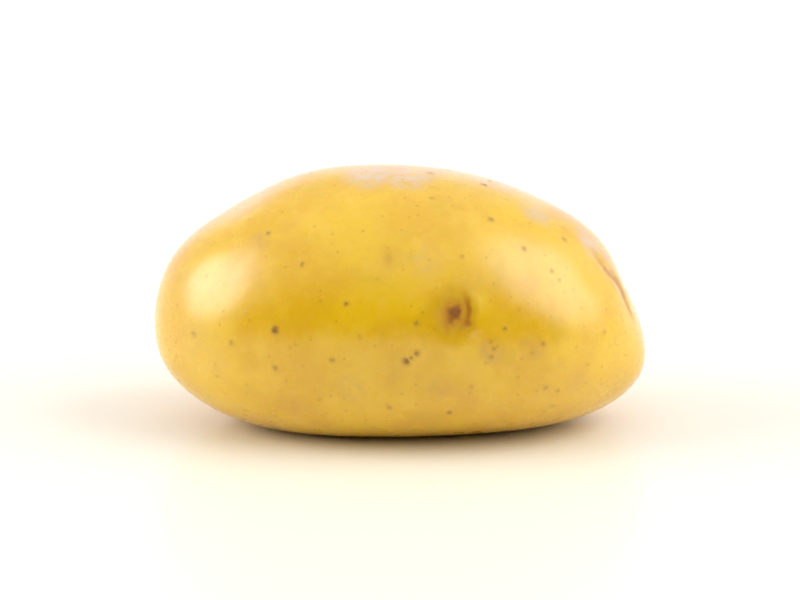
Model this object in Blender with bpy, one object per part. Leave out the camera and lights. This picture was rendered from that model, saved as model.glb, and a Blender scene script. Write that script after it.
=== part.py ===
"""A yellow table potato, washed and whole, lying on the flat spot of its underside.

Run it with: blender --background --python part.py

Units are metres. +X runs along the tuber from its tapering rose end to its blunt
stem end, +Y points away from the side that carries the largest eye, and +Z is up.
The origin is on the resting surface, under the middle of the tuber's box.
"""

import math

import bmesh
import bpy
from mathutils import Matrix, Vector
from mathutils.bvhtree import BVHTree

MM = 0.001

# Overall sizes of the tuber. Its height is measured from the flat spot that it rests on.
LENGTH = 75.0 * MM
WIDTH = 46.0 * MM
HEIGHT = 39.5 * MM

# The flat spot: how much of the round underside it takes away, and how softly it runs out.
FOOT_DEPTH = 1.5 * MM
FOOT_BLEND = 0.8 * MM

# The round form is a ball of radius 1, stretched. Its station runs from -1 at the rose end
# to +1 at the stem end. Each row below is 1, station, station^2 and station^3.
# How high the centre line runs, in half thicknesses: it droops at both ends, most at the stem.
CENTRE_LINE = (0.0, 0.005, -0.243, -0.095)
# How thick the tuber is from belly to back, and how wide across its flanks.
THICKNESS_SWELL = (1.0, -0.043, 0.106, 0.033)
FLANK_SWELL = (1.0, 0.030, 0.100, 0.000)
# How far the middle of the tuber bows towards -Y, in half widths.
SIDE_BOW = 0.05
# 2 makes an oval girth, and a little more squares its shoulders. The egg share widens its belly.
GIRTH_POWER = 2.15
GIRTH_EGG = 0.12

# The skin's grid: cells along each edge of the cube that is blown up to a ball.
GRID = 28

# How steep a feature's rise is: at 1.6, about 8% of it is left one reach away.
BELL_STEEPNESS = 1.6

SKIN_COLOUR = (0.78, 0.50, 0.10, 1.0)
SKIN_ROUGHNESS = 0.38

# Broad swellings and flats. "toward" is the place, seen from the middle of the tuber and in
# shares of its half sizes. "reach" is the radius at which the rise has mostly died away.
SWELLINGS = (
    {"name": "crown", "toward": (-0.36, 0.10, 0.93), "reach": 14.0 * MM, "rise": 0.60 * MM},
    {"name": "rose shoulder flat", "toward": (-0.66, 0.00, 0.72), "reach": 9.0 * MM, "rise": -0.62 * MM},
    {"name": "rose nose", "toward": (-0.93, -0.02, 0.34), "reach": 12.0 * MM, "rise": 0.70 * MM},
    {"name": "rose chin", "toward": (-0.86, -0.12, -0.44), "reach": 11.0 * MM, "rise": 0.60 * MM},
    {"name": "stem shoulder", "toward": (0.86, 0.02, 0.50), "reach": 12.0 * MM, "rise": 1.00 * MM},
    {"name": "stem face", "toward": (0.99, 0.00, 0.02), "reach": 8.0 * MM, "rise": -0.45 * MM},
    {"name": "heel", "toward": (0.90, -0.12, -0.50), "reach": 9.0 * MM, "rise": 1.10 * MM},
    {"name": "far flank flat", "toward": (0.20, 0.97, 0.10), "reach": 17.0 * MM, "rise": -1.00 * MM},
    {"name": "far rose bulge", "toward": (-0.58, 0.75, 0.10), "reach": 14.0 * MM, "rise": 0.70 * MM},
    {"name": "far stem bulge", "toward": (0.70, 0.66, -0.10), "reach": 12.0 * MM, "rise": 0.50 * MM},
)

# The eyes. Each is a shallow pit under a low brow, on the side that faces the stem end.
# "span" is the brow's length round the girth, and "lean" turns the eye about the skin's normal.
EYES = (
    {"name": "front eye", "toward": (0.22, -0.97, 0.15), "span": 7.0 * MM, "depth": 0.45 * MM, "lean": 8},
    {"name": "crown eye", "toward": (-0.05, -0.66, 0.74), "span": 8.0 * MM, "depth": 0.30 * MM, "lean": 0},
    {"name": "stem fold", "toward": (0.90, -0.30, 0.34), "span": 12.0 * MM, "depth": 0.55 * MM, "lean": -12},
    {"name": "stem low eye", "toward": (0.80, 0.40, -0.46), "span": 7.0 * MM, "depth": 0.60 * MM, "lean": 12},
    {"name": "far crown eye", "toward": (0.42, 0.56, 0.70), "span": 7.5 * MM, "depth": 0.60 * MM, "lean": 8},
    {"name": "far flank eye", "toward": (-0.14, 0.98, 0.14), "span": 8.5 * MM, "depth": 0.75 * MM, "lean": -6},
    {"name": "far low eye", "toward": (0.30, 0.74, -0.60), "span": 7.0 * MM, "depth": 0.55 * MM, "lean": 4},
    {"name": "rose top eye", "toward": (-0.80, 0.38, 0.46), "span": 7.0 * MM, "depth": 0.60 * MM, "lean": 10},
    {"name": "rose tip eye", "toward": (-0.96, 0.26, -0.08), "span": 6.0 * MM, "depth": 0.60 * MM, "lean": -15},
    {"name": "rose low eye", "toward": (-0.72, 0.40, -0.57), "span": 7.0 * MM, "depth": 0.50 * MM, "lean": -5},
)
# The reach of an eye's pit and brow, their sizes along the tuber, and the rise of the brow, in
# shares of its span and depth.
EYE_REACH_SHARE = 0.80
PIT_LENGTH_SHARE = 0.50
BROW_PLACE_SHARE = 0.38
BROW_LENGTH_SHARE = 0.45
BROW_RISE_SHARE = 0.45

# The round hollow of the stem end, where the stolon came away.
STEM_HOLLOW = {"toward": (0.97, 0.24, 0.10), "reach": 4.5 * MM, "rise": -0.80 * MM}


def curve(station, row):
    return sum(factor * station**power for power, factor in enumerate(row))


def on_round_form(ball):
    """The point of the round form, in shares of its half sizes, for a point of the ball."""
    station = max(-1.0, min(1.0, ball.x))
    girth = math.sqrt(1 - station**2)
    side, up = (ball.y / girth, ball.z / girth) if girth > 0 else (0.0, 0.0)
    roundness = (abs(side) ** GIRTH_POWER + abs(up) ** GIRTH_POWER) ** (1 / GIRTH_POWER)
    if roundness > 0:
        side, up = side / roundness, up / roundness
    width = girth * curve(station, FLANK_SWELL) * (1 - GIRTH_EGG * up)
    thickness = girth * curve(station, THICKNESS_SWELL)
    return Vector((
        station,
        side * width - SIDE_BOW * (1 - station**2),
        up * thickness + curve(station, CENTRE_LINE),
    ))


def box_of(grid):
    low = Vector([min(v.co[axis] for v in grid.verts) for axis in range(3)])
    high = Vector([max(v.co[axis] for v in grid.verts) for axis in range(3)])
    return low, high


def blown_up_cube():
    """A cube with a grid on each face, blown up to a ball of radius 1 with even cells."""
    grid = bmesh.new()
    bmesh.ops.create_cube(grid, size=2)
    bmesh.ops.subdivide_edges(grid, edges=grid.edges[:], cuts=GRID - 1, use_grid_fill=True)
    for vertex in grid.verts:
        evened = [math.tan(c * math.pi / 4) for c in vertex.co]
        vertex.co = Vector(evened).normalized()
    return grid


def fit_to_box(grid, sizes, floor):
    """Stretches the grid to these sizes, centred on Z, with its lowest point at the floor."""
    low, high = box_of(grid)
    for vertex in grid.verts:
        share = [(vertex.co[axis] - low[axis]) / (high[axis] - low[axis]) for axis in range(3)]
        vertex.co.x = (share[0] - 0.5) * sizes[0]
        vertex.co.y = (share[1] - 0.5) * sizes[1]
        vertex.co.z = share[2] * sizes[2] + floor


def take_round_form(grid):
    for vertex in grid.verts:
        vertex.co = on_round_form(vertex.co)
    fit_to_box(grid, (LENGTH, WIDTH, HEIGHT + FOOT_DEPTH), -FOOT_DEPTH)


def skin_place(skin, toward):
    """Where the ray from the tuber's middle towards this share of its half sizes leaves the skin.

    It returns a matrix whose X runs along the skin to the stem end, whose Z points out of the
    skin, and whose place is that point.
    """
    middle = Vector((0, 0, HEIGHT / 2))
    aim = Vector((toward[0] * LENGTH, toward[1] * WIDTH, toward[2] * HEIGHT))
    place, out, _, _ = skin.ray_cast(middle, aim.normalized())
    around = out.cross(Vector((1, 0, 0))).normalized()
    turned = Matrix((around.cross(out), around, out)).transposed().to_4x4()
    return Matrix.Translation(place) @ turned


def bell(distance, reach):
    """1 at the middle of a feature, and nearly nothing one reach away."""
    return math.exp(-((BELL_STEEPNESS * distance / reach) ** 2))


def swelling_rise(local, swelling):
    return swelling["rise"] * bell(local.length, swelling["reach"])


def eye_rise(local, eye):
    """An oval pit, long round the girth, and a brow beyond it that bends back at both ends."""
    pit_away = math.hypot(local.x / PIT_LENGTH_SHARE, local.y)
    reach = EYE_REACH_SHARE * eye["span"]
    brow_place = eye["span"] * BROW_PLACE_SHARE - local.y**2 / eye["span"]
    brow_away = math.hypot((local.x - brow_place) / BROW_LENGTH_SHARE, local.y)
    pit = bell(pit_away, reach)
    brow = bell(brow_away, reach)
    return eye["depth"] * (BROW_RISE_SHARE * brow - pit) * bell(local.z, eye["span"])


def raise_features(grid, features, rise):
    """Moves the skin out by the rise of every feature, each measured on the skin before it."""
    grid.normal_update()
    skin = BVHTree.FromBMesh(grid)
    places = []
    for feature in features:
        lean = Matrix.Rotation(math.radians(feature.get("lean", 0)), 4, "Z")
        places.append(skin_place(skin, feature["toward"]) @ lean)
    for vertex in grid.verts:
        moved = Vector((0, 0, 0))
        for feature, place in zip(features, places):
            moved += place.to_3x3().col[2] * rise(place.inverted() @ vertex.co, feature)
        vertex.co += moved


def press_foot(grid):
    """Flattens what would reach below Z = 0, with a soft edge round the flat spot."""
    for vertex in grid.verts:
        height = vertex.co.z
        if height < -FOOT_BLEND:
            vertex.co.z = 0.0
        elif height < FOOT_BLEND:
            vertex.co.z = (height + FOOT_BLEND) ** 2 / (4 * FOOT_BLEND)


def skin_material():
    material = bpy.data.materials.new("potato_skin")
    material.use_nodes = True
    shader = material.node_tree.nodes["Principled BSDF"]
    shader.inputs["Base Color"].default_value = SKIN_COLOUR
    shader.inputs["Roughness"].default_value = SKIN_ROUGHNESS
    shader.inputs["Metallic"].default_value = 0.0
    return material


def make_potato(collection):
    grid = blown_up_cube()
    take_round_form(grid)
    raise_features(grid, SWELLINGS, swelling_rise)
    fit_to_box(grid, (LENGTH, WIDTH, HEIGHT + FOOT_DEPTH), -FOOT_DEPTH)
    raise_features(grid, (STEM_HOLLOW,), swelling_rise)
    raise_features(grid, EYES, eye_rise)
    press_foot(grid)
    mesh = bpy.data.meshes.new("potato")
    grid.to_mesh(mesh)
    grid.free()
    mesh.shade_smooth()
    mesh.materials.append(skin_material())
    collection.objects.link(bpy.data.objects.new("potato", mesh))


def clear_scene():
    for leftover in list(bpy.data.objects):
        bpy.data.objects.remove(leftover, do_unlink=True)


def main():
    clear_scene()
    collection = bpy.data.collections.new("potato")
    bpy.context.scene.collection.children.link(collection)
    make_potato(collection)


main()
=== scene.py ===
import math

import bmesh
import bpy
from mathutils import Matrix, Vector
from mathutils.bvhtree import BVHTree


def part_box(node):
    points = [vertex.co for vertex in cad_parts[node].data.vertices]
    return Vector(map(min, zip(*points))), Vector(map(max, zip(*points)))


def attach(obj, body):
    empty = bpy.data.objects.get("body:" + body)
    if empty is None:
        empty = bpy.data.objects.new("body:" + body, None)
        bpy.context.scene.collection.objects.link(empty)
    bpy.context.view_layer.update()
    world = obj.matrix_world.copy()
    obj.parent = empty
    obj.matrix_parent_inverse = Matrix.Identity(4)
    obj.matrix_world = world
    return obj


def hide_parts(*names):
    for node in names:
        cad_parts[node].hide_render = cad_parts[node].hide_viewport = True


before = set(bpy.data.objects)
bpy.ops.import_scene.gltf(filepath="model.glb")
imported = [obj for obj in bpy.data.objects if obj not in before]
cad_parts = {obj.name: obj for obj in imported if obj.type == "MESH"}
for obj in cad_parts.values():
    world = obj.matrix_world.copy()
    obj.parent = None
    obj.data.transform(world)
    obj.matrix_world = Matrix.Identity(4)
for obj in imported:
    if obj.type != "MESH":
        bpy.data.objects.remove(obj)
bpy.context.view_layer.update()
mm = 0.001

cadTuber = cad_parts["potato"]
lowCorner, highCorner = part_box("potato")
middle = (lowCorner + highCorner) / 2
halfSizes = (highCorner - lowCorner) / 2


def linear(hexColour):
    # an sRGB hex colour as the linear one that a shader takes
    channels = [int(hexColour[i:i + 2], 16) / 255 for i in (1, 3, 5)]
    return [c / 12.92 if c <= 0.04045 else ((c + 0.055) / 1.055) ** 2.4 for c in channels] + [1.0]


def addNode(tree, kind, inputs=(), **settings):
    # one node with its settings; an input is named or counted, and takes a value, a socket,
    # or another node, which stands for its first output
    made = tree.nodes.new(kind)
    for name, value in settings.items():
        setattr(made, name, value)
    free = [socket for socket in made.inputs if socket.enabled]
    pairs = inputs.items() if isinstance(inputs, dict) else enumerate(inputs)
    for key, value in pairs:
        socket = free[key] if isinstance(key, int) else next(s for s in free if s.name == key)
        if isinstance(value, bpy.types.Node):
            value = next(s for s in value.outputs if s.enabled)
        if isinstance(value, bpy.types.NodeSocket):
            tree.links.new(value, socket)
        else:
            socket.default_value = value
    return made


def setCurve(curveNode, points):
    # the curve runs from 0 to 1 across and from -1 to 1 up, and stays level past its ends
    mapping = curveNode.mapping
    mapping.clip_min_y = -1
    mapping.extend = "HORIZONTAL"
    curve = mapping.curves[0]
    while len(curve.points) < len(points):
        curve.points.new(0.5, 0.5)
    for point, place in zip(curve.points, points):
        point.location = place
    mapping.update()
    return curveNode


def meshObject(name, mesh):
    made = bpy.data.objects.new(name, mesh)
    bpy.context.scene.collection.objects.link(made)
    return made


# The eyes, the stem fold and the stem scar. "toward" is the direction from the middle, in shares
# of the half sizes. Sizes are in mm: the span round the girth, how deep the pit is, how high the
# brow and the bud. The brow stands on the stem side of the bud, browAt spans away, and its ends
# bend back. "lean" turns the eye in degrees, "stretch" lengthens it, "stain" browns its pit and
# paints shade round it, and "line" browns its crease and paints shade along both sides of it.
usualEye = {
    "span": 7.0, "stretch": 1.0, "depth": 0.30, "brow": 0.13, "bud": 0.12,
    "browAt": 0.30, "bend": 0.7, "lean": 0, "stain": 0.7, "line": 0.5,
}
eyes = [
    {"toward": (0.22, -0.97, 0.15), "depth": 0.20, "brow": 0.13, "bud": 0.09, "browAt": 0.31,
     "bend": 0.5, "lean": -8, "stain": 1.0, "line": 0.9},
    {"toward": (-0.04, -0.80, 0.555), "span": 6.0, "depth": 0.16, "brow": 0.0, "bud": 0.0,
     "stain": 0.16, "line": 0.0},
    {"toward": (0.88, -0.165, 0.16), "span": 8.0, "stretch": 1.9, "depth": 0.0, "brow": 0.16,
     "bud": 0.0, "browAt": -0.10, "bend": 0.32, "lean": 62, "stain": 0.0, "line": 0.6},
    {"toward": (0.97, 0.24, 0.10), "span": 7.6, "stretch": 0.76, "depth": 0.50, "brow": 0.0,
     "bud": 0.15, "browAt": 0.6, "stain": 1.0, "line": 0.0},
    {"toward": (0.80, 0.40, -0.46), "lean": 12, "stain": 0.5},
    {"toward": (0.42, 0.56, 0.70), "span": 7.5, "lean": 8, "stain": 0.6},
    {"toward": (-0.14, 0.98, 0.14), "span": 8.5, "depth": 0.45, "brow": 0.22, "lean": -6,
     "stain": 0.85, "line": 0.7},
    {"toward": (0.30, 0.74, -0.60), "lean": 4, "stain": 0.4},
    {"toward": (-0.80, 0.38, 0.46), "lean": 10},
    {"toward": (-0.96, 0.26, -0.08), "span": 6.0, "lean": -15, "stain": 0.9},
    {"toward": (-0.72, 0.40, -0.57), "lean": -5, "stain": 0.5},
]

# The pores and specks on the near side: x and z in mm, how far each reaches, how dark it is.
nearSpots = [
    (-18.6, 19.5, 0.85, 1.0), (0.9, 15.7, 0.85, 1.0), (2.4, 16.9, 0.65, 0.80),
    (13.4, 18.3, 0.50, 0.35), (13.9, 17.2, 0.55, 0.45), (13.5, 16.0, 0.50, 0.40),
    (12.6, 15.1, 0.45, 0.30), (21.2, 17.3, 0.60, 0.45), (19.6, 16.1, 0.55, 0.25),
    (-8.0, 24.0, 0.55, 0.75), (-14.6, 29.0, 0.50, 0.60), (13.5, 34.4, 0.65, 0.60),
    (18.5, 30.4, 0.60, 0.65), (24.6, 30.4, 0.70, 0.45), (22.6, 27.1, 0.55, 0.50),
    (23.7, 25.8, 0.50, 0.40), (-31.0, 17.0, 0.70, 0.40), (-25.2, 16.8, 0.60, 0.45),
    (-18.6, 13.8, 0.60, 0.55), (-10.1, 15.6, 0.60, 0.55), (2.3, 21.4, 0.60, 0.60),
    (-1.6, 7.9, 0.60, 0.55), (7.3, 6.8, 0.62, 0.80), (21.7, 10.3, 0.65, 0.45),
    (23.6, 9.5, 0.50, 0.50), (30.6, 17.3, 0.55, 0.35), (22.9, 6.7, 0.55, 0.35),
    (4.7, 37.2, 0.65, 0.35), (9.2, 30.3, 0.55, 0.35), (15.5, 20.1, 0.60, 0.50),
    (-19.7, 32.3, 0.60, 0.60), (-29.0, 25.5, 0.45, 0.25), (-12.0, 9.0, 0.45, 0.30),
    (28.0, 13.0, 0.50, 0.30), (-27.5, 11.0, 0.45, 0.30), (10.6, 11.5, 0.50, 0.25),
    (-3.5, 27.5, 0.40, 0.25), (-23.0, 21.5, 0.40, 0.25), (5.5, 26.5, 0.40, 0.20),
    (-6.0, 19.0, 0.40, 0.25), (17.5, 12.5, 0.40, 0.30), (1.6, 16.2, 0.50, 0.70),
    (-15.5, 17.6, 0.35, 0.25), (27.0, 21.5, 0.40, 0.25), (-33.5, 20.5, 0.45, 0.25),
]

# Patches of skin on the near side, most of them rubbed: x and z in mm, how far each reaches, how
# strong it is, and how silvery: 0 is brown scurf, 1 is pale dry skin that has lifted a little. Some
# rows are painted light instead: a painted reflection on the crown and the right shoulder, and painted
# shade.
nearScuffsAndPaintedLight = [
    (-21.0, 31.2, 2.6, 0.75, 0.0), (-7.5, 11.0, 3.4, 0.55, 0.0), (5.3, 11.2, 3.2, 0.50, 0.0),
    (19.6, 16.9, 2.8, 0.70, 0.0), (13.3, 16.6, 2.9, 0.80, 0.0), (26.5, 10.5, 3.0, 0.40, 0.0),
    (-16.0, 7.5, 3.4, 0.35, 0.0), (-27.0, 14.0, 3.0, 0.30, 0.0), (10.5, 27.0, 3.2, 0.35, 0.0),
    # first row: painted shade of the shallow hollow between the crown dimple and the front eye; the other
    # two rows: a painted reflection of the lit sheet behind, along the crown
    (3.8, 29.8, 4.2, 0.30, 0.3), (-4.4, 39.3, 6.0, 1.0, 1.0), (0.8, 39.2, 6.0, 1.0, 1.0),
    # both rows: a painted reflection of the lit sheet behind, on the right shoulder
    (28.6, 29.0, 4.0, 0.90, 1.0), (20.5, 33.8, 4.0, 0.60, 1.0),
    # down the valley of the stem fold: brown scurf, with the grey of painted shade in the valley
    (31.2, 26.2, 1.9, 0.90, 0.55), (32.1, 24.4, 1.8, 0.85, 0.5), (33.0, 22.7, 1.7, 0.80, 0.45),
    (33.8, 21.0, 1.6, 0.75, 0.4), (34.6, 19.4, 1.5, 0.65, 0.35),
]


def formOfTuber():
    # the CAD's triangles merged into one skin, for the fine skin to be laid on
    form = bmesh.new()
    form.from_mesh(cadTuber.data)
    bmesh.ops.remove_doubles(form, verts=form.verts[:], dist=0.001 * mm)
    bmesh.ops.recalc_face_normals(form, faces=form.faces[:])
    mesh = bpy.data.meshes.new("tuberForm")
    form.to_mesh(mesh)
    rays = BVHTree.FromBMesh(form)
    form.free()
    return meshObject("tuberForm", mesh), rays


def cloudOf(name, rows):
    # a mesh of loose points, one for each row, that carries the row's values
    mesh = bpy.data.meshes.new(name)
    mesh.from_pydata([row["place"] for row in rows], [], [])
    for key, value in rows[0].items():
        if isinstance(value, Vector):
            flat = [c for row in rows for c in row[key]]
            mesh.attributes.new(key, "FLOAT_VECTOR", "POINT").data.foreach_set("vector", flat)
        else:
            flat = [row[key] for row in rows]
            mesh.attributes.new(key, "FLOAT", "POINT").data.foreach_set("value", flat)
    return meshObject(name, mesh)


def eyeCloud(rays):
    rows = []
    for eye in eyes:
        eye = {**usualEye, **eye}
        aim = Vector([share * half for share, half in zip(eye["toward"], halfSizes)]).normalized()
        place, out, _, _ = rays.ray_cast(middle, aim)
        around = out.cross(Vector((1, 0, 0))).normalized()
        turn = Matrix.Rotation(math.radians(eye["lean"]), 3, out)
        row = {"place": place, "out": out, "along": turn @ around.cross(out)}
        row |= {key: eye[key] * mm for key in ("span", "depth", "brow", "bud")}
        row |= {key: float(eye[key]) for key in ("stretch", "browAt", "bend", "stain", "line")}
        rows.append(row)
    return cloudOf("eyeCloud", rows)


def nearCloud(name, marks, rays):
    # each mark is laid on the near side from in front; a pore's row names no silver
    rows = []
    for mark in marks:
        x, z, reach, strength = mark[:4]
        silver = mark[4] if len(mark) > 4 else 0.0
        place, _, _, _ = rays.ray_cast(Vector((x * mm, -1.0, z * mm)), Vector((0, 1, 0)))
        rows.append({"place": place, "reach": reach * mm, "strength": strength, "silver": silver})
    return cloudOf(name, rows)


skin = {
    "cells": (200, 100, 88),    # grid cells along, across and up the cube that is blown up
    "easing": 46,               # smoothing passes over the CAD's facets
    "waveSize": 13.0,           # mm from one gentle swell to the next
    "waveHeight": 0.22,         # mm
    "dimpleSize": 3.4,          # mm, the small unevenness that breaks up a highlight
    "dimpleHeight": 0.035,
    "poreGap": 3.2,             # mm, the least distance between two pores
    "poreDensity": 50000,       # pores to the square metre before the gap thins them
    "poreRise": 0.05,           # mm
    "scuffGap": 9.0,            # mm, the same for rubbed patches
    "scuffDensity": 5000,
    "scuffSolid": 0.2,          # the share of a patch's reach that doesn't fade
    "warpSize": 3.0,            # mm, the size of the waves that make the eyes uneven
    "warp": 2.0,                # mm, about twice how far they move an eye's edge
    "awayFrom": (0.0, 1.0, -0.05),    # the way that the hidden side faces
    "awayEdge": (-0.35, 0.10),  # how far a place turns that way when scattering starts and is full
    "silver": (-0.6, 1.2),      # a scattered patch's least and most; below 0 it is brown
    "seed": 7,
    "reachSeed": 11,
    "strengthSeed": 31,
    "silverSeed": 53,
}

# The scattered pores and patches: the least and most reach in mm, and the least and most strength.
scattered = {"Pore": (0.35, 0.85, 0.15, 0.9), "Scuff": (1.4, 3.0, 0.1, 0.6)}

# The form of every eye, measured in its spans. A curve's points say how far off and how high,
# in shares of the eye's own depth, bud or brow.
eyeForm = {
    "oval": (1.9, 1.45, 1.0),   # how many times sooner the pit ends along, round and out
    "fade": (0.75, 0.95),       # where all of the eye starts to die away and ends
    "pit": [(0.0, -1.0), (0.3, -0.95), (0.6, -0.5), (0.85, -0.08), (1.0, 0.0)],
    "bud": [(0.0, 1.0), (0.12, 0.85), (0.28, 0.15), (0.4, 0.0), (1.0, 0.0)],
    "brow": [(0.0, 0.0), (0.16, 0.0), (0.28, -0.6), (0.42, 1.0), (0.58, 0.55), (0.82, 0.0), (1.0, 0.0)],
    "creaseAt": 0.3,            # where the crease lies in the brow's curve
    "browEnds": (0.02, 0.27),   # the same for the brow, as the square of the way round
}

# A pore's ring and dent, in shares of its reach and its rise.
poreRing = [(0.0, -0.5), (0.25, -0.1), (0.55, 1.0), (0.8, 0.3), (1.0, 0.0)]


def skinTree(objects, material):
    tree = bpy.data.node_groups.new("potatoSkinTree", "GeometryNodeTree")
    tree.interface.new_socket(name="Geometry", in_out="OUTPUT", socket_type="NodeSocketGeometry")
    wanted = {
        "Form": ("Object", objects["form"]), "Eyes": ("Object", objects["eyes"]),
        "Spots": ("Object", objects["spots"]), "Scuffs": ("Object", objects["scuffs"]),
        "Skin": ("Material", material),
        "Middle": ("Vector", middle), "Half Sizes": ("Vector", halfSizes),
        "Cells Along": ("Int", skin["cells"][0]), "Cells Across": ("Int", skin["cells"][1]),
        "Cells Up": ("Int", skin["cells"][2]), "Easing": ("Int", skin["easing"]),
        "Wave Size": ("Float", skin["waveSize"] * mm), "Wave Height": ("Float", skin["waveHeight"] * mm),
        "Dimple Size": ("Float", skin["dimpleSize"] * mm),
        "Dimple Height": ("Float", skin["dimpleHeight"] * mm),
        "Pore Gap": ("Float", skin["poreGap"] * mm), "Pore Density": ("Float", skin["poreDensity"]),
        "Pore Rise": ("Float", skin["poreRise"] * mm),
        "Scuff Gap": ("Float", skin["scuffGap"] * mm), "Scuff Density": ("Float", skin["scuffDensity"]),
        "Seed": ("Int", skin["seed"]),
        "Eye Unevenness": ("Float", 1 / (skin["warpSize"] * mm)),
        "Eye Warp": ("Vector", [skin["warp"] * mm] * 3),
    }
    values = {}
    for name, (kind, value) in wanted.items():
        socket = tree.interface.new_socket(name=name, in_out="INPUT", socket_type="NodeSocket" + kind)
        values[socket.identifier] = value
    given = tree.nodes.new("NodeGroupInput").outputs

    # a cube's grid is evened out and blown up into a ball, and rays lay it on the form
    counts = {}
    for axis, name in zip("XYZ", ("Along", "Across", "Up")):
        cells = given["Cells " + name]
        counts["Vertices " + axis] = addNode(tree, "ShaderNodeMath", [cells, 1], operation="ADD")
    cube = addNode(tree, "GeometryNodeMeshCube", {"Size": (2, 2, 2), **counts})
    here = addNode(tree, "GeometryNodeInputPosition")
    kept = addNode(tree, "GeometryNodeStoreNamedAttribute", {
        "Geometry": cube, "Name": "cubePlace", "Value": here}, data_type="FLOAT_VECTOR")
    eased = addNode(tree, "ShaderNodeVectorMath", {"Vector": here, "Scale": math.pi / 4}, operation="SCALE")
    evened = addNode(tree, "ShaderNodeVectorMath", [eased], operation="TANGENT")
    ball = addNode(tree, "ShaderNodeVectorMath", [evened], operation="NORMALIZE")
    aim = addNode(tree, "ShaderNodeVectorMath", [ball, given["Half Sizes"]], operation="MULTIPLY")
    form = addNode(tree, "GeometryNodeObjectInfo", {"Object": given["Form"]}).outputs["Geometry"]
    ray = addNode(tree, "GeometryNodeRaycast", {
        "Target Geometry": form, "Source Position": given["Middle"], "Ray Direction": aim,
        "Ray Length": 1.0})
    smooth = addNode(tree, "GeometryNodeBlurAttribute", {
        "Value": ray.outputs["Hit Position"], "Iterations": given["Easing"]}, data_type="FLOAT_VECTOR")
    laid = addNode(tree, "GeometryNodeSetPosition", {"Geometry": kept, "Position": smooth})

    # pores and rubbed patches are scattered away from the near side, and join the chosen ones
    out = addNode(tree, "GeometryNodeInputNormal")
    facing = addNode(tree, "ShaderNodeVectorMath", [out, skin["awayFrom"]], operation="DOT_PRODUCT")
    away = addNode(tree, "ShaderNodeMapRange", [facing.outputs["Value"], *skin["awayEdge"], 0.0, 1.0])
    clouds = {}
    for name, (least, most, weak, strong) in scattered.items():
        points = addNode(tree, "GeometryNodeDistributePointsOnFaces", {
            "Mesh": laid, "Distance Min": given[name + " Gap"], "Density Max": given[name + " Density"],
            "Density Factor": away, "Seed": given["Seed"]}, distribute_method="POISSON")
        reach = addNode(tree, "FunctionNodeRandomValue", {
            "Min": least * mm, "Max": most * mm, "Seed": skin["reachSeed"]})
        strength = addNode(tree, "FunctionNodeRandomValue", {
            "Min": weak, "Max": strong, "Seed": skin["strengthSeed"]})
        silver = addNode(tree, "FunctionNodeRandomValue", {
            "Min": skin["silver"][0], "Max": skin["silver"][1], "Seed": skin["silverSeed"]})
        points = points.outputs["Points"]
        for key, kind, value in (("reach", "FLOAT", reach), ("strength", "FLOAT", strength),
                                 ("silver", "FLOAT", silver), ("place", "FLOAT_VECTOR", here)):
            points = addNode(tree, "GeometryNodeStoreNamedAttribute", {
                "Geometry": points, "Name": key, "Value": value}, data_type=kind)
        chosen = given["Spots" if name == "Pore" else "Scuffs"]
        chosen = addNode(tree, "GeometryNodeObjectInfo", {"Object": chosen}).outputs["Geometry"]
        chosen = addNode(tree, "GeometryNodeMeshToPoints", {"Mesh": chosen})
        joined = addNode(tree, "GeometryNodeJoinGeometry", [chosen])
        tree.links.new(next(s for s in points.outputs if s.enabled), joined.inputs[0])
        clouds[name.lower()] = joined
    eyePoints = addNode(tree, "GeometryNodeObjectInfo", {"Object": given["Eyes"]}).outputs["Geometry"]
    clouds["eye"] = addNode(tree, "GeometryNodeMeshToPoints", {"Mesh": eyePoints})

    # each point of the skin reads the values of the nearest pore, patch and eye
    told = {}
    eyeNumbers = ("span", "stretch", "depth", "brow", "bud", "browAt", "bend", "stain", "line")
    for cloud, vectors, numbers in (
        ("pore", ("place",), ("reach", "strength")),
        ("scuff", ("place",), ("reach", "strength", "silver")),
        ("eye", ("place", "out", "along"), eyeNumbers),
    ):
        nearest = addNode(tree, "GeometryNodeSampleNearest", [clouds[cloud]], domain="POINT")
        for kind, keys in (("FLOAT_VECTOR", vectors), ("FLOAT", numbers)):
            for key in keys:
                value = addNode(tree, "GeometryNodeInputNamedAttribute", {"Name": key}, data_type=kind)
                told[cloud, key] = addNode(
                    tree, "GeometryNodeSampleIndex",
                    {"Geometry": clouds[cloud], "Value": value, "Index": nearest},
                    data_type=kind, domain="POINT")
        away = addNode(tree, "ShaderNodeVectorMath", [here, told[cloud, "place"]], operation="DISTANCE")
        told[cloud, "away"] = away.outputs["Value"]

    # a pore is a low ring round a dent, and a patch only fades out
    share = addNode(tree, "ShaderNodeMath", [told["pore", "away"], told["pore", "reach"]],
                    operation="DIVIDE")
    ring = setCurve(addNode(tree, "ShaderNodeFloatCurve", {"Value": share}), poreRing)
    poreRise = addNode(tree, "ShaderNodeMath", [ring, given["Pore Rise"]], operation="MULTIPLY")
    share = addNode(tree, "ShaderNodeMath", [told["scuff", "away"], told["scuff", "reach"]],
                    operation="DIVIDE")
    fade = addNode(tree, "ShaderNodeMapRange", [share, skin["scuffSolid"], 1.0, 1.0, 0.0],
                   interpolation_type="SMOOTHSTEP")
    scuff = addNode(tree, "ShaderNodeMath", [fade, told["scuff", "strength"]], operation="MULTIPLY")
    # how silvery a patch is: dry skin on most, a painted reflection on the near crown and right shoulder
    silver = addNode(tree, "ShaderNodeMath", [scuff, told["scuff", "silver"]],
                     operation="MULTIPLY", use_clamp=True)

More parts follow.
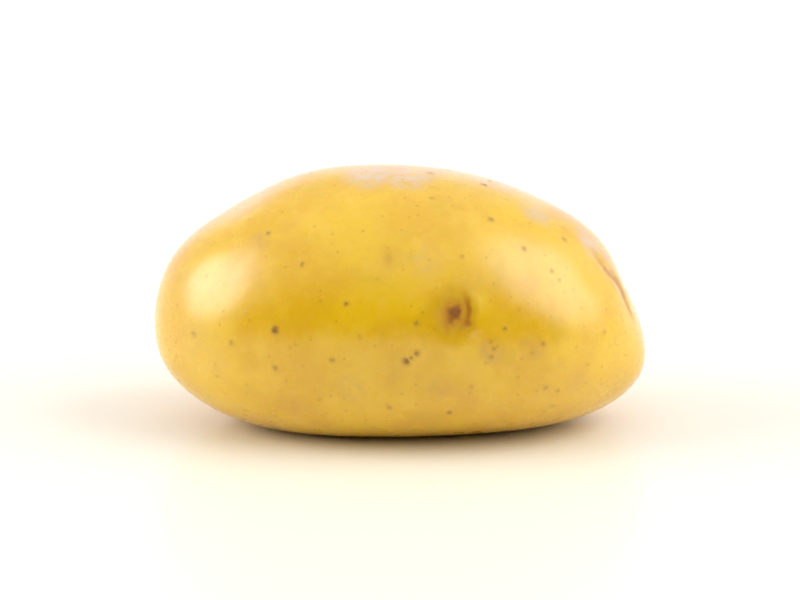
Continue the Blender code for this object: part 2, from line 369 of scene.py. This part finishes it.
    # where each point lies in its nearest eye: spans along the tuber, round it and out of it
    around = addNode(tree, "ShaderNodeVectorMath", [told["eye", "out"], told["eye", "along"]],
                     operation="CROSS_PRODUCT")
    gap = addNode(tree, "ShaderNodeVectorMath", [here, told["eye", "place"]], operation="SUBTRACT")
    noise = addNode(tree, "ShaderNodeTexNoise", {
        "Vector": here, "Scale": given["Eye Unevenness"], "Detail": 2.0})
    uneven = addNode(tree, "ShaderNodeVectorMath", [noise.outputs["Color"], (0.5, 0.5, 0.5)],
                     operation="SUBTRACT")
    gap = addNode(tree, "ShaderNodeVectorMath", [uneven, given["Eye Warp"], gap],
                  operation="MULTIPLY_ADD")
    length = addNode(tree, "ShaderNodeMath", [told["eye", "span"], told["eye", "stretch"]],
                     operation="MULTIPLY")
    spans = []
    for direction, size in ((told["eye", "along"], told["eye", "span"]), (around, length),
                            (told["eye", "out"], told["eye", "span"])):
        reach = addNode(tree, "ShaderNodeVectorMath", [gap, direction], operation="DOT_PRODUCT")
        spans.append(addNode(tree, "ShaderNodeMath", [reach.outputs["Value"], size], operation="DIVIDE"))
    along, sideways, _ = spans
    inEye = addNode(tree, "ShaderNodeCombineXYZ", spans)
    farOff = addNode(tree, "ShaderNodeVectorMath", [inEye], operation="LENGTH").outputs["Value"]
    near = addNode(tree, "ShaderNodeMapRange", [farOff, *eyeForm["fade"], 1.0, 0.0],
                   interpolation_type="SMOOTHSTEP")
    oval = addNode(tree, "ShaderNodeVectorMath", [inEye, eyeForm["oval"]], operation="MULTIPLY")
    pitAway = addNode(tree, "ShaderNodeVectorMath", [oval], operation="LENGTH").outputs["Value"]
    pit = setCurve(addNode(tree, "ShaderNodeFloatCurve", {"Value": pitAway}), eyeForm["pit"])
    bud = setCurve(addNode(tree, "ShaderNodeFloatCurve", {"Value": pitAway}), eyeForm["bud"])
    square = addNode(tree, "ShaderNodeMath", [sideways, sideways], operation="MULTIPLY")
    bent = addNode(tree, "ShaderNodeMath", [square, told["eye", "bend"], along],
                   operation="MULTIPLY_ADD")
    pastBrow = addNode(tree, "ShaderNodeMath", [bent, told["eye", "browAt"]], operation="SUBTRACT")
    shifted = addNode(tree, "ShaderNodeMath", [pastBrow, eyeForm["creaseAt"]], operation="ADD")
    brow = setCurve(addNode(tree, "ShaderNodeFloatCurve", {"Value": shifted}), eyeForm["brow"])
    ends = addNode(tree, "ShaderNodeMapRange", [square, *eyeForm["browEnds"], 1.0, 0.0],
                   interpolation_type="SMOOTHSTEP")
    browFaded = addNode(tree, "ShaderNodeMath", [brow, ends], operation="MULTIPLY")
    eyeRise = addNode(tree, "ShaderNodeMath", [pit, told["eye", "depth"]], operation="MULTIPLY")
    for shape, key in ((bud, "bud"), (browFaded, "brow")):
        eyeRise = addNode(tree, "ShaderNodeMath", [shape, told["eye", key], eyeRise],
                          operation="MULTIPLY_ADD")
    total = addNode(tree, "ShaderNodeMath", [eyeRise, near, poreRise], operation="MULTIPLY_ADD")

    # the skin swells a little unevenly, in two sizes
    for part in ("Wave", "Dimple"):
        often = addNode(tree, "ShaderNodeMath", [1.0, given[part + " Size"]], operation="DIVIDE")
        noise = addNode(tree, "ShaderNodeTexNoise", {"Vector": here, "Scale": often, "Detail": 1.0})
        swing = addNode(tree, "ShaderNodeMath", [noise, 0.5], operation="SUBTRACT")
        total = addNode(tree, "ShaderNodeMath", [swing, given[part + " Height"], total],
                        operation="MULTIPLY_ADD")
    shift = addNode(tree, "ShaderNodeVectorMath", {"Vector": out, "Scale": total}, operation="SCALE")

    # what the material needs to know; a pore's values hold for a whole face, so that they
    # never blend across the border between two pores
    inEyeMap = addNode(tree, "ShaderNodeCombineXYZ", [pitAway, pastBrow, sideways])
    stain = addNode(tree, "ShaderNodeMath", [told["eye", "stain"], near], operation="MULTIPLY")
    line = addNode(tree, "ShaderNodeMath", [told["eye", "line"], near], operation="MULTIPLY")
    geometry = laid
    for name, kind, domain, value in (
        ("porePlace", "FLOAT_VECTOR", "FACE", told["pore", "place"]),
        ("poreReach", "FLOAT", "FACE", told["pore", "reach"]),
        ("poreStrength", "FLOAT", "FACE", told["pore", "strength"]),
        ("scuff", "FLOAT", "POINT", scuff), ("silver", "FLOAT", "POINT", silver),
        ("eyeMap", "FLOAT_VECTOR", "POINT", inEyeMap),
        ("eyeStain", "FLOAT", "POINT", stain), ("eyeLine", "FLOAT", "POINT", line),
        ("formPlace", "FLOAT_VECTOR", "POINT", here),
    ):
        geometry = addNode(tree, "GeometryNodeStoreNamedAttribute", {
            "Geometry": geometry, "Name": name, "Value": value}, data_type=kind, domain=domain)
    raised = addNode(tree, "GeometryNodeSetPosition", {"Geometry": geometry, "Offset": shift})
    rounded = addNode(tree, "GeometryNodeSetShadeSmooth", {"Geometry": raised})
    real = addNode(tree, "GeometryNodeRealizeInstances", {"Geometry": rounded})
    worn = addNode(tree, "GeometryNodeSetMaterial", {"Geometry": real, "Material": given["Skin"]})
    tree.links.new(worn.outputs[0], tree.nodes.new("NodeGroupOutput").inputs[0])
    return tree, values


def modelled(made):
    # the evaluated object as a plain mesh, with its modifiers gone
    graph = bpy.context.evaluated_depsgraph_get()
    graph.update()
    mesh = bpy.data.meshes.new_from_object(
        made.evaluated_get(graph), preserve_all_data_layers=True, depsgraph=graph)
    made.modifiers.clear()
    made.data = mesh


def fitToBox(mesh):
    # back to exactly the CAD's box, with the resting spot flat
    for vertex in mesh.vertices:
        vertex.co.z = max(vertex.co.z, 0.0)
    for axis in range(3):
        places = [vertex.co[axis] for vertex in mesh.vertices]
        low, span = min(places), max(places) - min(places)
        scale = (highCorner[axis] - lowCorner[axis]) / span
        for vertex in mesh.vertices:
            vertex.co[axis] = lowCorner[axis] + (vertex.co[axis] - low) * scale


def layOutBakeMap(mesh):
    # the cube's six sides in three columns and two rows, the tuber's long way up the columns
    margin = 0.006
    inner = 1 - 2 * margin
    chart = mesh.uv_layers.new(name="OFBake")
    cubePlace = [Vector(v.vector) for v in mesh.attributes["cubePlace"].data]
    for polygon in mesh.polygons:
        centre = sum((cubePlace[i] for i in polygon.vertices), Vector()) / len(polygon.vertices)
        side = max(range(3), key=lambda axis: abs(centre[axis]))
        acrossAxis, upAxis = ((2, 1), (2, 0), (1, 0))[side]
        row = 1 if centre[side] > 0 else 0
        for corner, index in zip(polygon.loop_indices, polygon.vertices):
            u, v = [(cubePlace[index][axis] + 1) / 2 * inner + margin for axis in (acrossAxis, upAxis)]
            chart.data[corner].uv = ((side + u) / 3, (row + v) / 2)
    mesh.attributes.remove(mesh.attributes["cubePlace"])


periderm = {
    "deep": "#DFAE02",      # the yellow flesh showing through the thinnest skin
    "main": "#E8BE08",
    "pale": "#ECC22E",      # where the skin is drier
    "olive": "#D2AC0C",
    "blush": "#DFAA36",
    "halo": "#C4920C",      # the skin round a pore, a crack or an eye; round an eye it is partly, and along a crease wholly, painted shade
    "pore": "#8C5C00",
    "stain": "#C48602",     # an eye's pit
    "core": "#8C4E00",      # the bud in its middle
    "crease": "#AE6600",
    "scurf": "#C4934A",     # rough brown cork; in a few listed patches by the front eye and down the stem fold, painted shade
    "silver": "#DDC8B2",    # dry skin that has lifted a little; on the near crown and right shoulder, a painted reflection of the lit sheet behind
    "fleckGap": 2.3,        # mm from one of the smallest pores to the next
    "netGap": 1.1,          # mm from one fine crack to the next
    "netBend": 0.9,         # mm, about twice how far they wander
    "netEnds": (22, 38),    # mm from the waist, where the cracks start to grow and are strongest
    "netLeast": 0.12,       # how strong they are at the waist
    "netPatch": (0.35, 0.60),          # the dry noise's values where they start and are full
    "poreRagged": 0.6,      # mm, the same for a pore's edge
    "eyeRagged": (0.45, 0.14, 0.2),    # in spans, for the pit's edge, the crease and its ends
    "creaseEnds": (0.15, 0.48),        # spans from the crease's middle, where it starts to fade and ends
    "roughness": 0.30,      # wax on cork is satin
    "roughnessSwing": (-0.05, 0.07),
    "ior": 1.5,             # plant wax, for the skin and for the gloss over it
    "coat": 0.8,
    "coatRoughness": 0.20,
    "flesh": 0.25,          # the share of light that goes through the skin
    "fleshDepth": 2.0,      # mm that red light goes in; green goes about half as far
    "fleshSpread": (1.0, 0.55, 0.12),
    "relief": 0.05,         # mm
    "reliefStrength": 0.6,
}

# Noises by the size of their patches in mm and their detail; cork cells are 0.03 mm, so "grain"
# is drawn coarser.
patches = {
    "flesh": (11.0, 2.0), "tint": (7.0, 3.0), "dry": (4.5, 4.0), "mottle": (1.3, 3.0),
    "ragged": (0.55, 2.0), "grain": (0.42, 2.0), "gloss": (2.4, 2.0), "smear": (1.5, 3.0),
}


def peridermMaterial():
    # potato periderm, a thin cork skin, washed and rubbed: the flesh's yellow glows through it,
    # and its wax gives a soft sheen with a clearer film of gloss over it
    material = bpy.data.materials.new("potatoPeridermWashed")
    material.use_nodes = True
    tree = material.node_tree
    shader = tree.nodes["Principled BSDF"]
    place = addNode(tree, "ShaderNodeTexCoord").outputs["Object"]
    read = {}
    for name in ("porePlace", "formPlace", "eyeMap"):
        read[name] = addNode(tree, "ShaderNodeAttribute", attribute_name=name).outputs["Vector"]
    for name in ("poreReach", "poreStrength", "scuff", "silver", "eyeStain", "eyeLine"):
        read[name] = addNode(tree, "ShaderNodeAttribute", attribute_name=name).outputs["Fac"]
    noises = {}
    for name, (size, detail) in patches.items():
        noises[name] = addNode(tree, "ShaderNodeTexNoise", {
            "Vector": place, "Scale": 1 / (size * mm), "Detail": detail})

    # flecks are the smallest pores, and a faint net of fine cracks roughens both ends
    flecks = addNode(tree, "ShaderNodeTexVoronoi", {
        "Vector": place, "Scale": 1 / (periderm["fleckGap"] * mm)})
    netBend = [periderm["netBend"] * mm] * 3
    bent = addNode(tree, "ShaderNodeVectorMath", [noises["mottle"].outputs["Color"], netBend, place],
                   operation="MULTIPLY_ADD")
    net = addNode(tree, "ShaderNodeTexVoronoi", {
        "Vector": bent, "Scale": 1 / (periderm["netGap"] * mm)}, feature="DISTANCE_TO_EDGE")
    lengthwise = addNode(tree, "ShaderNodeSeparateXYZ", [place]).outputs[0]
    fromWaist = addNode(tree, "ShaderNodeMath", [lengthwise], operation="ABSOLUTE")
    netStart, netFull = periderm["netEnds"]
    nearEnds = addNode(tree, "ShaderNodeMapRange", [
        fromWaist, netStart * mm, netFull * mm, periderm["netLeast"], 1.0],
        interpolation_type="SMOOTHSTEP")
    netPatch = addNode(tree, "ShaderNodeMapRange", [noises["dry"], *periderm["netPatch"], 0.0, 1.0])
    netFade = addNode(tree, "ShaderNodeMath", [nearEnds, netPatch], operation="MULTIPLY")

    # pores, measured from the place that the skin remembers, with a ragged edge
    ragged = addNode(tree, "ShaderNodeVectorMath", [noises["ragged"].outputs["Color"], (0.5, 0.5, 0.5)],
                     operation="SUBTRACT")
    poreRagged = [periderm["poreRagged"] * mm] * 3
    moved = addNode(tree, "ShaderNodeVectorMath", [ragged, poreRagged, read["formPlace"]],
                    operation="MULTIPLY_ADD")
    away = addNode(tree, "ShaderNodeVectorMath", [moved, read["porePlace"]], operation="DISTANCE")
    inPore = addNode(tree, "ShaderNodeMath", [away.outputs["Value"], read["poreReach"]],
                     operation="DIVIDE")

    # eyes: how far from the bud, how far past the brow's crease, and how far round it
    smear = addNode(tree, "ShaderNodeVectorMath", [noises["smear"].outputs["Color"], (0.5, 0.5, 0.5)],
                    operation="SUBTRACT")
    inEye = addNode(tree, "ShaderNodeVectorMath", [smear, periderm["eyeRagged"], read["eyeMap"]],
                    operation="MULTIPLY_ADD")
    pitAway, pastBrow, sideways = addNode(tree, "ShaderNodeSeparateXYZ", [inEye]).outputs
    offCrease = addNode(tree, "ShaderNodeMath", [pastBrow], operation="ABSOLUTE")
    fromMiddle = addNode(tree, "ShaderNodeMath", [sideways], operation="ABSOLUTE")
    creaseEnds = addNode(tree, "ShaderNodeMapRange", [fromMiddle, *periderm["creaseEnds"], 1.0, 0.0],
                         interpolation_type="SMOOTHSTEP")
    creaseFade = addNode(tree, "ShaderNodeMath", [creaseEnds, read["eyeLine"]], operation="MULTIPLY")

    # each layer is a colour, the value that places it, that value's two ends, how strong it
    # is at the first of them, and what else weakens it
    colour = linear(periderm["main"])
    for key, value, start, end, strength, by in (
        ("deep", noises["flesh"], 0.62, 0.38, 0.80, None),
        ("olive", noises["tint"], 0.70, 0.56, 0.35, None),
        ("blush", noises["tint"], 0.28, 0.45, 0.30, None),
        ("pale", noises["dry"], 0.70, 0.48, 0.65, None),
        ("pale", noises["mottle"], 0.75, 0.50, 0.45, None),
        ("deep", noises["mottle"], 0.28, 0.46, 0.40, None),
        ("halo", net, 0.0, 0.10, 0.50, netFade),
        ("halo", flecks, 0.07, 0.15, 0.55, None),
        # rough brown cork, and in a few listed near-side patches painted shade
        ("scurf", noises["smear"], 0.78, 0.20, 0.80, read["scuff"]),
        # pale dry skin, and on the near crown and right shoulder a painted reflection of the lit sheet
        # behind
        ("silver", noises["smear"], 0.80, 0.15, 1.0, read["silver"]),
        ("halo", inPore, 0.45, 1.45, 0.65, read["poreStrength"]),
        ("pore", inPore, 0.15, 0.90, 0.95, read["poreStrength"]),
        # round an eye's pit: partly browned skin, partly painted shade of the hollow round the eye
        ("halo", pitAway, 0.30, 1.25, 0.70, read["eyeStain"]),
        ("stain", pitAway, 0.22, 0.62, 0.90, read["eyeStain"]),
        # painted shade along both sides of a crease
        ("halo", offCrease, 0.04, 0.30, 0.45, creaseFade),
        ("crease", offCrease, 0.01, 0.10, 0.90, creaseFade),
        ("core", pitAway, 0.08, 0.38, 0.95, read["eyeStain"]),
    ):
        mask = addNode(tree, "ShaderNodeMapRange", [value, start, end, strength, 0.0],
                       interpolation_type="SMOOTHSTEP")
        if by:
            mask = addNode(tree, "ShaderNodeMath", [mask, by], operation="MULTIPLY")
        colour = addNode(tree, "ShaderNodeMix", [mask, colour, linear(periderm[key])], data_type="RGBA")

    # the gloss varies a little and dies on rubbed patches, in pores and in eyes
    glossiest, dullest = [periderm["roughness"] + swing for swing in periderm["roughnessSwing"]]
    rough = addNode(tree, "ShaderNodeMapRange", [noises["gloss"], 0.3, 0.7, glossiest, dullest])
    for value, start, end, strength, by in (
        (noises["smear"], 0.65, 0.40, 0.30, read["scuff"]),
        (inPore, 0.5, 1.0, 0.25, read["poreStrength"]),
        (pitAway, 0.25, 0.8, 0.30, read["eyeStain"]),
    ):
        mask = addNode(tree, "ShaderNodeMapRange", [value, start, end, strength, 0.0])
        rough = addNode(tree, "ShaderNodeMath", [mask, by, rough], operation="MULTIPLY_ADD")

    # fine relief, in shares of its height: the grain, a soft unevenness, and the pore's ring
    # and dent
    ring = setCurve(addNode(tree, "ShaderNodeFloatCurve", {"Value": inPore}),
                    [(0.0, -1.0), (0.3, -0.4), (0.65, 0.7), (1.0, 0.0)])
    ringRise = addNode(tree, "ShaderNodeMath", [ring, read["poreStrength"]], operation="MULTIPLY")
    height = addNode(tree, "ShaderNodeMath", [noises["grain"], 0.35], operation="MULTIPLY")
    for value, rise in ((noises["mottle"], 0.9), (ringRise, 0.9), (noises["gloss"], 1.0)):
        height = addNode(tree, "ShaderNodeMath", [value, rise, height], operation="MULTIPLY_ADD")
    bump = addNode(tree, "ShaderNodeBump", {
        "Strength": periderm["reliefStrength"], "Distance": periderm["relief"] * mm, "Height": height})
    for name, value in (("Base Color", colour), ("Roughness", rough), ("Normal", bump)):
        tree.links.new(next(s for s in value.outputs if s.enabled), shader.inputs[name])
    for name, value in {
        "IOR": periderm["ior"], "Coat IOR": periderm["ior"],
        "Coat Weight": periderm["coat"], "Coat Roughness": periderm["coatRoughness"],
        "Subsurface Weight": periderm["flesh"], "Subsurface Radius": periderm["fleshSpread"],
        "Subsurface Scale": periderm["fleshDepth"] * mm,
    }.items():
        shader.inputs[name].default_value = value
    return material


def growPotato():
    form, rays = formOfTuber()
    helpers = {"form": form, "eyes": eyeCloud(rays), "spots": nearCloud("spotCloud", nearSpots, rays),
               "scuffs": nearCloud("scuffCloud", nearScuffsAndPaintedLight, rays)}
    potato = meshObject("potatoSkin", bpy.data.meshes.new("potatoSkin"))
    tree, values = skinTree(helpers, peridermMaterial())
    grow = potato.modifiers.new("grow", "NODES")
    grow.node_group = tree
    for identifier, value in values.items():
        grow[identifier] = value
    modelled(potato)
    fitToBox(potato.data)
    layOutBakeMap(potato.data)
    for helper in helpers.values():
        bpy.data.objects.remove(helper)
    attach(potato, "root")
    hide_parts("potato")
    print("skin grown:", len(potato.data.polygons), "faces")


studio = {
    "tableSize": 12.0,      # m across
    "tableColour": "#F9F6EC",
    "tableGloss": 0.14,     # share of a polished sheet's shine
    "tableRoughness": 0.25,
    "walls": "#F8F3E8",     # the room as the tuber sees it
    "wallLight": 0.88,
    "backSheet": "#E2DAEE",
    "backLight": 1.45,
    "backEdge": (0.25, 0.7),      # how far back a direction points where the lit sheet starts and is full
    "backTop": (0.60, 0.25),      # how far up it points where the sheet ends and is full
    "darkFront": "#0C0B0A",
    "frontEdge": (0.1, -0.75),    # the same two for the dim front
    "frontTop": (0.80, 0.30),
}

lamps = [
    # the direction it comes from, how bright, and the angles of its even part and its soft edge
    {"from": (-0.90, -0.05, 0.41), "bright": 4.6, "wide": 18, "edge": 52},
    {"from": (0.80, -0.14, 0.58), "bright": 2.8, "wide": 30, "edge": 68},
    {"from": (0.0, 0.10, 1.0), "bright": 0.25, "wide": 40, "edge": 90},
]


def layTable():
    half = studio["tableSize"] / 2
    corners = [(-half, -half, 0), (half, -half, 0), (half, half, 0), (-half, half, 0)]
    mesh = bpy.data.meshes.new("table")
    mesh.from_pydata(corners, [], [(0, 1, 2, 3)])
    material = bpy.data.materials.new("whiteAcrylicSheet")    # a matt white with a polished surface
    material.use_nodes = True
    tree = material.node_tree
    matt = addNode(tree, "ShaderNodeBsdfDiffuse", {"Color": linear(studio["tableColour"])})
    shine = addNode(tree, "ShaderNodeBsdfGlossy", {"Roughness": studio["tableRoughness"]})
    sheet = addNode(tree, "ShaderNodeMixShader", [studio["tableGloss"], matt, shine])
    tree.links.new(sheet.outputs[0], tree.nodes["Material Output"].inputs["Surface"])
    tree.nodes.remove(tree.nodes["Principled BSDF"])
    mesh.materials.append(material)
    meshObject("table", mesh)


def lightStudio():
    # the whole room is one world: white walls, a lit sheet behind, a dim front and soft lamps;
    # past the tuber the camera sees plain white
    world = bpy.data.worlds.new("paleStudio")
    bpy.context.scene.world = world
    world.use_nodes = True
    tree = world.node_tree
    toward = addNode(tree, "ShaderNodeTexCoord").outputs["Generated"]
    _, depth, height = addNode(tree, "ShaderNodeSeparateXYZ", [toward]).outputs
    walls = [c * studio["wallLight"] for c in linear(studio["walls"])[:3]] + [1.0]
    backSheet = [c * studio["backLight"] for c in linear(studio["backSheet"])[:3]] + [1.0]
    room = walls
    for colour, edge, top in (
        (backSheet, studio["backEdge"], studio["backTop"]),
        (linear(studio["darkFront"]), studio["frontEdge"], studio["frontTop"]),
    ):
        across = addNode(tree, "ShaderNodeMapRange", [depth, *edge, 0.0, 1.0],
                         interpolation_type="SMOOTHSTEP")
        under = addNode(tree, "ShaderNodeMapRange", [height, *top, 0.0, 1.0],
                        interpolation_type="SMOOTHSTEP")
        share = addNode(tree, "ShaderNodeMath", [across, under], operation="MULTIPLY")
        room = addNode(tree, "ShaderNodeMix", [share, room, colour], data_type="RGBA")
    for lamp in lamps:
        facing = addNode(tree, "ShaderNodeVectorMath", [toward, Vector(lamp["from"]).normalized()],
                         operation="DOT_PRODUCT")
        edge, even = [math.cos(math.radians(lamp[key] / 2)) for key in ("edge", "wide")]
        glow = addNode(tree, "ShaderNodeMapRange", [
            facing.outputs["Value"], edge, even, 0.0, lamp["bright"]], interpolation_type="SMOOTHSTEP")
        room = addNode(tree, "ShaderNodeMix", [1.0, room, glow], data_type="RGBA", blend_type="ADD")
    seen = addNode(tree, "ShaderNodeLightPath").outputs["Is Camera Ray"]
    shown = addNode(tree, "ShaderNodeMix", [seen, room, (1, 1, 1, 1)], data_type="RGBA")
    tree.links.new(shown.outputs[2], tree.nodes["Background"].inputs["Color"])


# The camera looks down on the near flank: degrees, m away, m across at the tuber, mm up.
view = {"elevation": 15.0, "distance": 0.85, "fieldWidth": 0.122, "aimHeight": 19.0}


def placeCamera():
    data = bpy.data.cameras.new("camera")
    data.lens = data.sensor_width * view["distance"] / view["fieldWidth"]
    camera = bpy.data.objects.new("camera", data)
    bpy.context.scene.collection.objects.link(camera)
    tilt = math.radians(view["elevation"])
    back = Vector((0, -math.cos(tilt), math.sin(tilt)))
    camera.location = Vector((0, 0, view["aimHeight"] * mm)) + back * view["distance"]
    camera.rotation_euler = back.to_track_quat("Z", "Y").to_euler()
    bpy.context.scene.camera = camera


growPotato()
layTable()
lightStudio()
placeCamera()
bpy.context.scene.view_settings.view_transform = "Standard"
print("studio ready")
